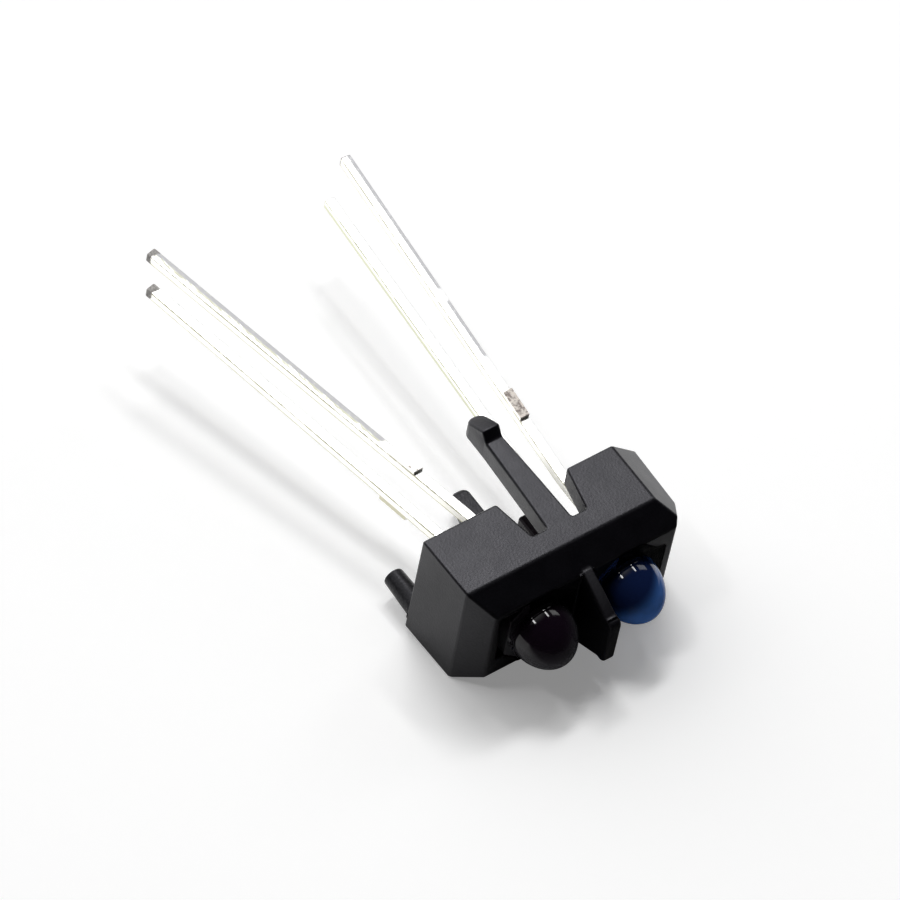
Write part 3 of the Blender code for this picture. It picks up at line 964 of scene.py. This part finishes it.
    def pocket(self, x: float) -> list[Thing]:
        """The cuts for one lens pocket.

        Args:
            x: Where its lens axis is.

        Returns:
            The cutters for the window, the ears, the seat and the opening behind it.
        """
        front, past = -self.rim_depth - self.overlap, self.overlap
        (half_x, half_z), ear, open_z = self.block_half, self.ear_half_width, self.opening_half_width
        outline = window_outline(*self.window_half, self.window_corner)
        window = extruded(outline, x, front, past - self.cavity_depth)
        spans = [
            (front, -self.notch_depth, ear),
            (-self.cavity_depth, -self.seat_back, half_z),
            (-self.seat_back - self.overlap, past, open_z),
        ]
        return [window] + [box((x - half_x, low, -z), (x + half_x, high, z)) for low, high, z in spans]

    def outer_corner(self) -> Thing:
        """The cut that squares the upper outer corner of the detector's window.

        Returns:
            The cutter.
        """
        (out, top), ear = self.square_corner, self.ear_half_width
        outline = [(-self.square_foot, -ear), (0.0, -ear), (0.0, top), (-out, top)]
        return extruded(outline, -LENS_X, -self.rim_depth - self.overlap, -self.cavity_depth + self.overlap)

    def mark_finishes(self, made: Thing) -> None:
        """Give the pin and the lower clip their smoother finish, and the pocket walls the duller copy that
        paints shade into them.

        Args:
            made: The moulding, with its three finishes in its slots.
        """
        border, (pocket_x, pocket_z) = self.finish_border, self.pocket_reach
        pin_x = self.pin_at[0] + 2 * self.pin_radius
        for face in made.data.polygons:
            x, y, z = face.center
            smooth = y > border and (x < pin_x or z < 0 and abs(x) < self.clip_root_width)
            inside = border - self.rim_depth < y < -border
            in_pocket = inside and abs(x) < pocket_x and abs(z) < pocket_z
            face.material_index = 1 if smooth else 2 if in_pocket else 0

    def build(self) -> None:
        """Make the whole moulding with rounded edges, and hand it over."""
        made = self.shell()
        combine(made, [self.slot_round_clip(side) for side in Side], Joining.CUT)
        combine(made, [self.clip(side) for side in Side], Joining.ADD)
        cutters = self.pocket(-LENS_X) + self.pocket(LENS_X) + [self.outer_corner()]
        combine(made, cutters, Joining.CUT)
        combine(made, [self.blade(), self.pin()], Joining.ADD)
        clean(made, 0.5)
        round_edges(made, self.edge)
        give(made, self.finish, self.smooth_finish, self.pocket_shade_finish)
        self.mark_finishes(made)
        hand_over(made, "moulded_housing", "housing")


# Epoxy bodies


@dataclass
class EpoxyBody:
    """One cast epoxy body: a block, a narrower front with cut corners and a domed lens."""

    name: str
    node: str
    slot: Slot
    finish: Finish
    x: float
    block_half: FlatPoint = (1.7 * MM, 1.9 * MM)
    front_half_length: float = 1.34 * MM
    front_corner: float = 0.8 * MM
    back: float = 2.05 * MM
    step: float = 2.95 * MM
    front: float = 3.9 * MM
    lens_radius: float = 1.32 * MM
    lens_centre: float = 4.2 * MM
    lens_reach: float = 1.72 * MM
    dome_end: float = 88.0
    edge: float = 0.025 * MM
    overlap: float = 0.2 * MM
    round_steps: int = 96
    dome_steps: int = 28

    def lens(self) -> Thing:
        """The round stub with its dome, which is a little longer than it is wide.

        Returns:
            The lens.
        """
        dome = arc((0.0, 0.0), 1.0, 0, self.dome_end, self.dome_steps)
        profile = [(self.lens_radius, -self.front + self.overlap)]
        profile += [(self.lens_radius * out, -self.lens_centre - self.lens_reach * up) for out, up in dome]
        return turned((self.x, 0.0), profile, self.round_steps)

    def build(self) -> None:
        """Make the body as one closed solid, and hand it over."""
        half_x, half_z = self.block_half
        made = box((self.x - half_x, -self.step, -half_z), (self.x + half_x, -self.back, half_z))
        outline = window_outline(self.front_half_length, half_z, self.front_corner)
        combine(made, [extruded(outline, self.x, -self.front, -self.step + self.overlap)], Joining.ADD)
        clean(made, 2.0)
        round_edges(made, self.edge)
        combine(made, [self.lens()], Joining.ADD)
        shade(made)
        give(made, self.finish)
        hand_over(made, self.name, self.node)


# Leads


class SweptStrip:
    """Geometry nodes that sweep a square wire with rounded corners along a path."""

    WIDTH = "Width"
    CORNER = "Corner Radius"
    FINISH = "Finish"
    KINDS = {WIDTH: "Float", CORNER: "Float", FINISH: "Material"}

    def __init__(self) -> None:
        """Build the node group once, for every lead."""
        self.group = bpy.data.node_groups.new("swept_strip", "GeometryNodeTree")
        face = self.group.interface
        face.new_socket("Path", in_out="INPUT", socket_type="NodeSocketGeometry")
        face.new_socket("Strip", in_out="OUTPUT", socket_type="NodeSocketGeometry")
        self.keys = {}
        for name, kind in self.KINDS.items():
            made = face.new_socket(name, in_out="INPUT", socket_type=f"NodeSocket{kind}")
            self.keys[name] = made.identifier
        net = NodeNet(self.group)
        given = net.add("NodeGroupInput").outputs
        girth = net.add("GeometryNodeInputNamedAttribute", {"Name": "girth"}).outputs[0]
        path = net.add("GeometryNodeMeshToCurve", {0: given["Path"]}).outputs[0]
        along = net.add("GeometryNodeSetCurveNormal", {"Curve": path}, mode="Z_UP").outputs[0]
        sides = {"Width": given[self.WIDTH], "Height": given[self.WIDTH]}
        square = net.add("GeometryNodeCurvePrimitiveQuadrilateral", sides).outputs[0]
        corner = {"Curve": square, "Count": 4, "Radius": given[self.CORNER]}
        rounded = net.add("GeometryNodeFilletCurve", corner, mode="POLY").outputs[0]
        sweep = {"Curve": along, "Profile Curve": rounded, "Scale": girth, "Fill Caps": True}
        strip = net.add("GeometryNodeCurveToMesh", sweep).outputs[0]
        real = net.add("GeometryNodeRealizeInstances", {0: strip}).outputs[0]
        finished = {"Geometry": real, "Material": given[self.FINISH]}
        dressed = net.add("GeometryNodeSetMaterial", finished).outputs[0]
        net.add("NodeGroupOutput", {0: dressed})

    def along(self, path: Sequence[Vector], girths: Sequence[float], settings: dict[str, object]) -> Thing:
        """Sweep the strip along a path.

        Args:
            path: The points of its centre line.
            girths: The share of the full width at each point.
            settings: The values of the group's named inputs.

        Returns:
            The swept object, as a plain mesh.
        """
        mesh = bpy.data.meshes.new("strip")
        mesh.from_pydata(path, [(i, i + 1) for i in range(len(path) - 1)], [])
        mesh.attributes.new("girth", "FLOAT", "POINT").data.foreach_set("value", girths)
        made = place("strip", mesh)
        sweep = made.modifiers.new("sweep", "NODES")
        sweep.node_group = self.group
        for name, value in settings.items():
            sweep[self.keys[name]] = value
        bake_modifiers(made)
        return made


@dataclass
class Lead:
    """One tinned lead: its top in the epoxy, the bend, the stub of a cut tie bar and the sheared tip."""

    name: str
    node: str
    x: float
    side: Side
    spread: float
    top: LeadTop
    size: float = 0.44 * MM
    height: float = 1.27 * MM
    length: float = 17.3 * MM
    bend: float = 0.45 * MM
    bend_reach: float = 0.5 * MM
    post_top: float = 3.3 * MM
    post_stops: tuple[float, ...] = (-2.0 * MM, -0.6 * MM)
    leg_start: float = 1.6 * MM
    leg_step: float = 1.2 * MM
    tip_short: float = 0.06 * MM
    tip_stops: tuple[float, ...] = (0.3 * MM, 0.06 * MM, 0.02 * MM, 0.0)
    tip_girths: tuple[float, ...] = (0.97, 0.88)
    tab_start: float = 3.4 * MM
    tab_end: float = 4.75 * MM
    tab_rise: float = 0.2 * MM
    tab_inset: float = 0.01 * MM
    tab_steps: int = 14
    tab_wear: float = 0.015 * MM
    tab_wave: float = 0.012 * MM
    tab_hollow: float = 0.4
    wave_turn: float = 2.3
    wave_shift: float = 4.0 / MM
    anvil_back: float = 2.75 * MM
    anvil_overhang: float = 0.35 * MM
    flag_reach: float = 0.4 * MM
    cup_radius: float = 0.46 * MM
    cup_height: float = 0.42 * MM
    cup_floor: float = 0.26 * MM
    cup_recess: float = 0.26 * MM
    cup_flare: float = 0.7
    pad_half: float = 0.46 * MM
    pad_thickness: float = 0.3 * MM
    overlap: float = 0.1 * MM
    corner: float = 0.04 * MM
    finish: TinnedSteel = TinnedSteel("tinned_steel")
    sheared: ShearedSteel = ShearedSteel("sheared_steel")

    def lean(self, y: float) -> float:
        """How far the lead stands off its straight line.

        Args:
            y: The place along the lead.

        Returns:
            The offset along X.
        """
        slope = self.spread / (self.length - self.bend)
        past = y - self.bend
        if abs(past) < self.bend_reach:
            return slope * (past + self.bend_reach) ** 2 / (4 * self.bend_reach)
        return slope * max(past, 0.0)

    def path(self) -> list[Vector]:
        """The points of the lead's centre line.

        Returns:
            The points, from its top to its tip.
        """
        z = self.side.value * self.height
        stops = [-self.post_top, *self.post_stops]
        stops += [self.bend + self.bend_reach * (i / 6 - 1) for i in range(13)]
        stops += [self.leg_start + i * self.leg_step for i in range(13)]
        stops += [self.length - self.tip_short - back for back in self.tip_stops]
        return [Vector((self.x + self.lean(y), y, z)) for y in stops]

    def tab(self) -> Thing:
        """The stub of a tie bar on the outer side, with its torn top.

        Returns:
            The stub.
        """
        half = self.size / 2 - self.tab_inset
        sign = self.side.value
        crest = self.height + self.size / 2 + self.tab_rise
        rings = []
        for i in range(self.tab_steps + 1):
            y = self.tab_start + (self.tab_end - self.tab_start) * i / self.tab_steps
            wave = math.sin(i * self.wave_turn + self.x * self.wave_shift)
            ragged = self.tab_wave * wave - self.tab_wear
            heights = (self.height, crest + ragged, crest + ragged * self.tab_hollow - self.tab_inset)
            low, high, mid = (sign * height for height in heights)
            section = [(-1.0, low), (1.0, low), (1.0, high), (0.3, mid), (-0.4, mid), (-1.0, high)]
            centre = self.x + self.lean(y)
            rings.append([(centre + half * share, y, z) for share, z in section])
        return solid_from_rings(rings)

    def head(self) -> list[Thing]:
        """The wider top of the lead inside the epoxy.

        Returns:
            The solids that join the post.
        """
        sign, half = self.side.value, self.size / 2
        z = sign * self.height
        far, near = z + sign * half, -sign * self.anvil_overhang
        if self.top is LeadTop.FLAG:
            near = z - sign * (half + self.flag_reach)
        low = (self.x - half, -self.post_top, min(far, near))
        found = [box(low, (self.x + half, -self.anvil_back, max(far, near)))]
        if self.top is LeadTop.PAD:
            reach, face = self.pad_half, -self.post_top - self.pad_thickness
            high = (self.x + reach, -self.post_top + self.overlap, reach)
            found.append(box((self.x - reach, face, -reach), high))
        if self.top is LeadTop.CUP:
            found.append(self.cup())
        return found

    def cup(self) -> Thing:
        """The reflector cup that the emitter's chip sits in.

        Returns:
            The cup.
        """
        mouth = -self.post_top - self.cup_height
        past = 2 * self.overlap
        foot = -self.post_top + self.overlap
        cup = turned((self.x, 0.0), [(self.cup_radius, foot), (self.cup_radius, mouth)])
        flare = (self.cup_radius - self.cup_floor) * self.cup_flare / self.cup_recess
        rim = self.cup_floor + flare * (self.cup_recess + past)
        profile = [(self.cup_floor, mouth + self.cup_recess), (rim, mouth - past)]
        combine(cup, [turned((self.x, 0.0), profile)], Joining.CUT)
        return cup

    def mark(self, made: Thing) -> None:
        """Write the attribute that the finish reads: the place on the strip's section and from its tip.

        Args:
            made: The lead.
        """
        half = self.size / 2
        values = []
        for vert in made.data.vertices:
            x, y, z = vert.co
            across = (x - self.x - self.lean(y)) / half
            up = (z - self.side.value * self.height) / half
            values.extend((across, up, (self.length - y) / MM))
        made.data.attributes.new("section", "FLOAT_VECTOR", "POINT").data.foreach_set("vector", values)

    def build(self, strip: SweptStrip) -> None:
        """Make the lead, and hand it over. The sides of its tab are plated and the rest is torn.

        Args:
            strip: The node group that sweeps it.
        """
        path = self.path()
        girths = [1.0] * (len(path) - len(self.tip_girths)) + [*self.tip_girths]
        plated, torn = self.finish.material(), self.sheared.material()
        settings = {strip.WIDTH: self.size, strip.CORNER: self.corner, strip.FINISH: plated}
        made = strip.along(path, girths, settings)
        tab = self.tab()
        tab.data.materials.append(plated)
        tab.data.materials.append(torn)
        for face in tab.data.polygons:
            on_side = abs(face.normal.x) > 0.9
            face.material_index = 0 if on_side else 1
        combine(made, [tab], Joining.ADD)
        combine(made, self.head(), Joining.ADD)
        shade(made)
        self.mark(made)
        hand_over(made, self.name, self.node)


# Chips and bond wires


@dataclass
class SmallParts:
    """The chips and bond wires keep their solids, and get their finishes."""

    chips: tuple[str, ...] = ("emitter_chip", "detector_chip")
    wires: tuple[str, ...] = ("emitter_bond_wire", "detector_bond_wire")

    def dress(self) -> None:
        """Give each solid its finish in place of the plain one."""
        for name in self.chips:
            low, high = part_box(name)
            centre = (low + high) / 2
            self.paint(name, ChipFace(f"{name}_face", centre=(centre.x, low.y, centre.z)))
        for name in self.wires:
            self.paint(name, GoldWire(f"{name}_gold"))

    def paint(self, name: str, finish: Finish) -> None:
        """Put a finish in a solid's slots.

        Args:
            name: The solid's node.
            finish: The finish.
        """
        made = finish.material()
        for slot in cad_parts[name].material_slots:
            slot.material = made
        log.info("%s keeps its solid, in %s", name, made.name)


# Studio


@dataclass
class Lamp:
    """A soft rectangular lamp that faces the part."""

    name: str
    towards: Point
    width: float
    height: float
    power: float
    distance: float = 0.42

    def build(self, target: Vector) -> None:
        """Put the lamp up.

        Args:
            target: The point that it faces.
        """
        light = bpy.data.lights.new(self.name, "AREA")
        light.shape = "RECTANGLE"
        light.size, light.size_y = self.width, self.height
        light.energy = self.power
        direction = Vector(self.towards).normalized()
        across = Vector((0.0, 1.0, 0.0)).cross(direction).normalized()
        pose = Matrix((across, direction.cross(across), direction)).transposed().to_4x4()
        pose.translation = target + direction * self.distance
        place(self.name, light).matrix_world = pose
        log.info("%s lights the part", self.name)


@dataclass
class Studio:
    """Pale floor, white surroundings, soft lamps and the camera at the photograph's angle.

    In the part's gloss the floor has painted shade that grows dark towards the front, and a painted glow
    behind the part.
    """

    floor_reach: float = 1.5
    floor_white: float = 0.88
    floor_fibre: float = 0.02
    floor_lift: float = 0.24
    # Painted shade and painted glow in the floor's reflection: dark towards the front, glowing behind the
    # part
    forward: Point = (0.1, -0.99, 0.0)
    dim_span: Span = (3.0 * MM, 8.0 * MM)
    dim_most: float = 0.92
    backward: Point = (0.25, 0.97, 0.0)
    behind_reach: float = 2.0 * MM
    behind_lift: float = 0.6
    sky_towards: Point = (-0.10, 0.80, 0.59)
    sky_span: Span = (0.62, 1.0)
    sky_front: float = 0.015
    sky_back: float = 2.3
    camera_at: Point = (-148.4 * MM, -143.8 * MM, 294.3 * MM)
    camera_right: Point = (0.8139, -0.5677, 0.1237)
    camera_up: Point = (0.4117, 0.7138, 0.5666)
    camera_clip: Span = (0.01, 20.0)
    focal_length: float = 374.1
    sensor_width: float = 36.0
    lamp_target: Point = (0.0, 2.0 * MM, 0.0)
    lamps: tuple[Lamp, ...] = (
        Lamp("key_lamp", (0.20, 0.404, 0.893), 0.16, 0.05, 0.62),
        Lamp("right_lamp", (0.37, 0.200, 0.905), 0.034, 0.10, 0.17),
        Lamp("far_right_lamp", (0.74, 0.200, 0.63), 0.18, 0.10, 0.12),
        Lamp("left_lamp", (-0.43, 0.178, 0.885), 0.035, 0.055, 0.11),
    )

    def floor(self, level: float) -> None:
        """The pale floor that the part stands on.

        Args:
            level: Its height.
        """
        reach = self.floor_reach
        mesh = bpy.data.meshes.new("floor")
        corners = [(-reach, -reach), (reach, -reach), (reach, reach), (-reach, reach)]
        mesh.from_pydata([(x, y, level) for x, y in corners], [], [(0, 1, 2, 3)])
        mesh.materials.append(self.floor_finish())
        place("floor", mesh)

    def floor_finish(self) -> bpy.types.Material:
        """White paper that shows the shadow on white, with painted shade towards the front and a painted glow
        behind the part that only reflections see.

        Returns:
            The floor's material.
        """
        made = bpy.data.materials.new("white_paper")
        made.use_nodes = True
        made.node_tree.nodes.clear()
        net = NodeNet(made.node_tree)
        where = net.add("ShaderNodeTexCoord").outputs["Object"]
        glossy = net.add("ShaderNodeLightPath").outputs["Is Glossy Ray"]
        fibre = net.noise(where, 0.5 * MM, detail=3.0)
        white = net.blend(fibre, grey(self.floor_white), grey(self.floor_white - self.floor_fibre))
        # Painted shade: in reflections the floor darkens towards the front.
        dim = net.remap(net.dot(where, self.forward), *self.dim_span, 0.0, self.dim_most)
        white = net.blend(net.product(dim, glossy), white, grey(0.0))
        paper = net.add("ShaderNodeBsdfDiffuse", {"Color": white}).outputs[0]
        # Painted glow: in reflections the floor glows behind the part.
        behind = net.remap(net.dot(where, self.backward), 0.0, self.behind_reach, 0.0, self.behind_lift)
        lift = net.highest(net.product(net.seen(), self.floor_lift), net.product(behind, glossy))
        glow = net.add("ShaderNodeEmission", {"Strength": lift}).outputs[0]
        both = net.add("ShaderNodeAddShader", {0: paper, 1: glow}).outputs[0]
        net.add("ShaderNodeOutputMaterial", {"Surface": both})
        return made

    def sky(self) -> None:
        """White surroundings for the camera, which light the part mostly from behind and above."""
        world = bpy.data.worlds.new("studio")
        world.use_nodes = True
        world.node_tree.nodes.clear()
        net = NodeNet(world.node_tree)
        facing = net.dot(net.add("ShaderNodeTexCoord").outputs["Generated"], self.sky_towards)
        room = net.remap(facing, *self.sky_span, self.sky_front, self.sky_back)
        glow = net.add("ShaderNodeBackground", {"Strength": net.highest(room, net.seen())})
        net.add("ShaderNodeOutputWorld", {"Surface": glow.outputs[0]})
        bpy.context.scene.world = world

    def camera(self) -> None:
        """The camera, where the photograph was taken from."""
        data = bpy.data.cameras.new("camera")
        data.lens, data.sensor_width = self.focal_length, self.sensor_width
        data.clip_start, data.clip_end = self.camera_clip
        right, up = Vector(self.camera_right), Vector(self.camera_up)
        pose = Matrix((right, up, right.cross(up))).transposed().to_4x4()
        pose.translation = Vector(self.camera_at)
        made = place("camera", data)
        made.matrix_world = REST.turn() @ pose
        bpy.context.scene.camera = made

    def build(self, level: float) -> None:
        """Set up the floor, the sky, the lamps and the camera.

        Args:
            level: The floor's height.
        """
        bpy.context.scene.view_settings.view_transform = "Standard"
        self.floor(level)
        self.sky()
        for lamp in self.lamps:
            lamp.build(Vector(self.lamp_target))
        self.camera()


# The whole scene


BRIGHT_SHEAR = ShearedSteel(
    "bright_sheared_steel", light=(0.95, 0.94, 0.90, 1.0), tone_span=(0.30, 0.42), metallic=0.8
)
EPOXY_BODIES = (
    EpoxyBody("blue_emitter_epoxy", "emitter_body", Slot.BLUE_EPOXY, BlueEpoxy("blue_epoxy"), LENS_X),
    EpoxyBody("black_detector_epoxy", "detector_body", Slot.BLACK_EPOXY, BlackEpoxy("black_epoxy"), -LENS_X),
)
# Each lead's finish sets its own painted flank reflection, painted shade lines and painted dark band.
LEADS = (
    Lead(
        "emitter_lower_lead", "emitter_cathode_lead", LENS_X, Side.LOWER, 0.9 * MM, LeadTop.CUP,
        finish=TinnedSteel(
            "tinned_steel_a", painted_flank_reflection=(0.93, 0.93, 0.78, 1.0), line=(0.58, 0.59, 0.44, 1.0), line_share=0.95,
            line_top=0.1, cap=0.1
        ),
    ),
    Lead(
        "emitter_upper_lead", "emitter_anode_lead", LENS_X, Side.UPPER, 1.31 * MM, LeadTop.FLAG,
        finish=TinnedSteel(
            "tinned_steel_b", band_from=0.25, band_end=10.9, band_gap=7.5, line_share=0.7, cap=0.14
        ),
    ),
    Lead(
        "detector_upper_lead", "detector_collector_lead", -LENS_X, Side.UPPER, -3.8 * MM, LeadTop.PAD,
        finish=TinnedSteel("tinned_steel_c", band_from=0.1, line_share=0.8, cap=0.38, streak_share=0.9),
        sheared=BRIGHT_SHEAR,
    ),
    Lead(
        "detector_lower_lead", "detector_emitter_lead", -LENS_X, Side.LOWER, -3.52 * MM, LeadTop.FLAG,
        finish=TinnedSteel("tinned_steel_d", line_share=0.8, cap=0.44),
        sheared=BRIGHT_SHEAR,
    ),
)


def main() -> None:
    """Build the part piece by piece and report each one."""
    logging.basicConfig(level=logging.INFO, format="%(message)s")
    Housing().build()
    for body in EPOXY_BODIES:
        body.build()
    strip = SweptStrip()
    for lead in LEADS:
        lead.build(strip)
    SmallParts().dress()
    Studio().build(SOLID_BOX[0].z)


if __name__ == "__main__":
    main()
